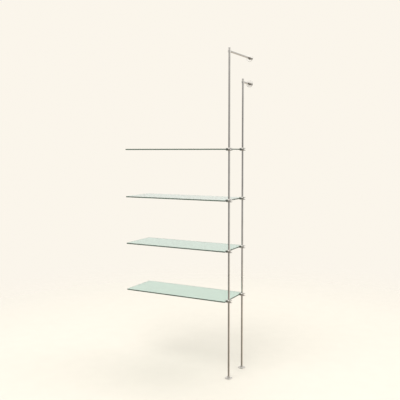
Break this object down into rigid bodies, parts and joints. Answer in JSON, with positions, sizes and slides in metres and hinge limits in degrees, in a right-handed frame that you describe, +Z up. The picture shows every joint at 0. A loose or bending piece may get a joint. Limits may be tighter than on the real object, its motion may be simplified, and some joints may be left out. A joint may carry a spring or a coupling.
{
  "type": "wall-mounted glass shelving unit",
  "caption": "Glass shelving bay: clear shelves held at one end by jaw clamps that slide on chromed posts, which stand in floor flanges and are tied to the wall by arms.",
  "frame": {"origin": "centre of the front post's floor flange, on the floor", "axes": "+X along the wall to the right, away from the glass; +Y towards the wall; +Z up"},
  "size_m": [0.8371, 0.375, 2.235],
  "materials": {
    "chrome": "polished chrome plate",
    "clear_glass": "clear float glass with a green cast, polished edges",
    "black_rubber": "moulded, matt",
    "screw_steel": "bright zinc plate"
  },
  "bodies": {
    "frame": {"front_floor_flange": "chrome", "front_post": "chrome", "front_tee": "chrome", "front_post_cap": "chrome", "front_wall_arm": "chrome", "front_wall_flange": "chrome", "rear_floor_flange": "chrome", "rear_post": "chrome", "rear_tee": "chrome", "rear_post_cap": "chrome", "rear_wall_arm": "chrome", "rear_wall_flange": "chrome", "floor_flange_set_screws": "screw_steel", "tee_set_screws": "screw_steel", "wall_flange_set_screws": "screw_steel"},
    "bottom_shelf": {"bottom_glass": "clear_glass", "bottom_front_clamp": "chrome", "bottom_rear_clamp": "chrome", "bottom_clamp_gaskets": "black_rubber", "bottom_jaw_screws": "screw_steel", "bottom_clamp_post_screws": "screw_steel"},
    "lower_shelf": {"lower_glass": "clear_glass", "lower_front_clamp": "chrome", "lower_rear_clamp": "chrome", "lower_clamp_gaskets": "black_rubber", "lower_jaw_screws": "screw_steel", "lower_clamp_post_screws": "screw_steel"},
    "upper_shelf": {"upper_glass": "clear_glass", "upper_front_clamp": "chrome", "upper_rear_clamp": "chrome", "upper_clamp_gaskets": "black_rubber", "upper_jaw_screws": "screw_steel", "upper_clamp_post_screws": "screw_steel"},
    "top_shelf": {"top_glass": "clear_glass", "top_front_clamp": "chrome", "top_rear_clamp": "chrome", "top_clamp_gaskets": "black_rubber", "top_jaw_screws": "screw_steel", "top_clamp_post_screws": "screw_steel"}
  },
  "joints": [
    {"name": "bottom_shelf_height", "type": "slide", "parent": "frame", "child": "bottom_shelf", "axis": [0, 0, 1], "range_m": [-0.5, 0.155]},
    {"name": "lower_shelf_height", "type": "slide", "parent": "frame", "child": "lower_shelf", "axis": [0, 0, 1], "range_m": [-0.155, 0.155]},
    {"name": "upper_shelf_height", "type": "slide", "parent": "frame", "child": "upper_shelf", "axis": [0, 0, 1], "range_m": [-0.155, 0.155]},
    {"name": "top_shelf_height", "type": "slide", "parent": "frame", "child": "top_shelf", "axis": [0, 0, 1], "range_m": [-0.155, 0.435]}
  ]
}
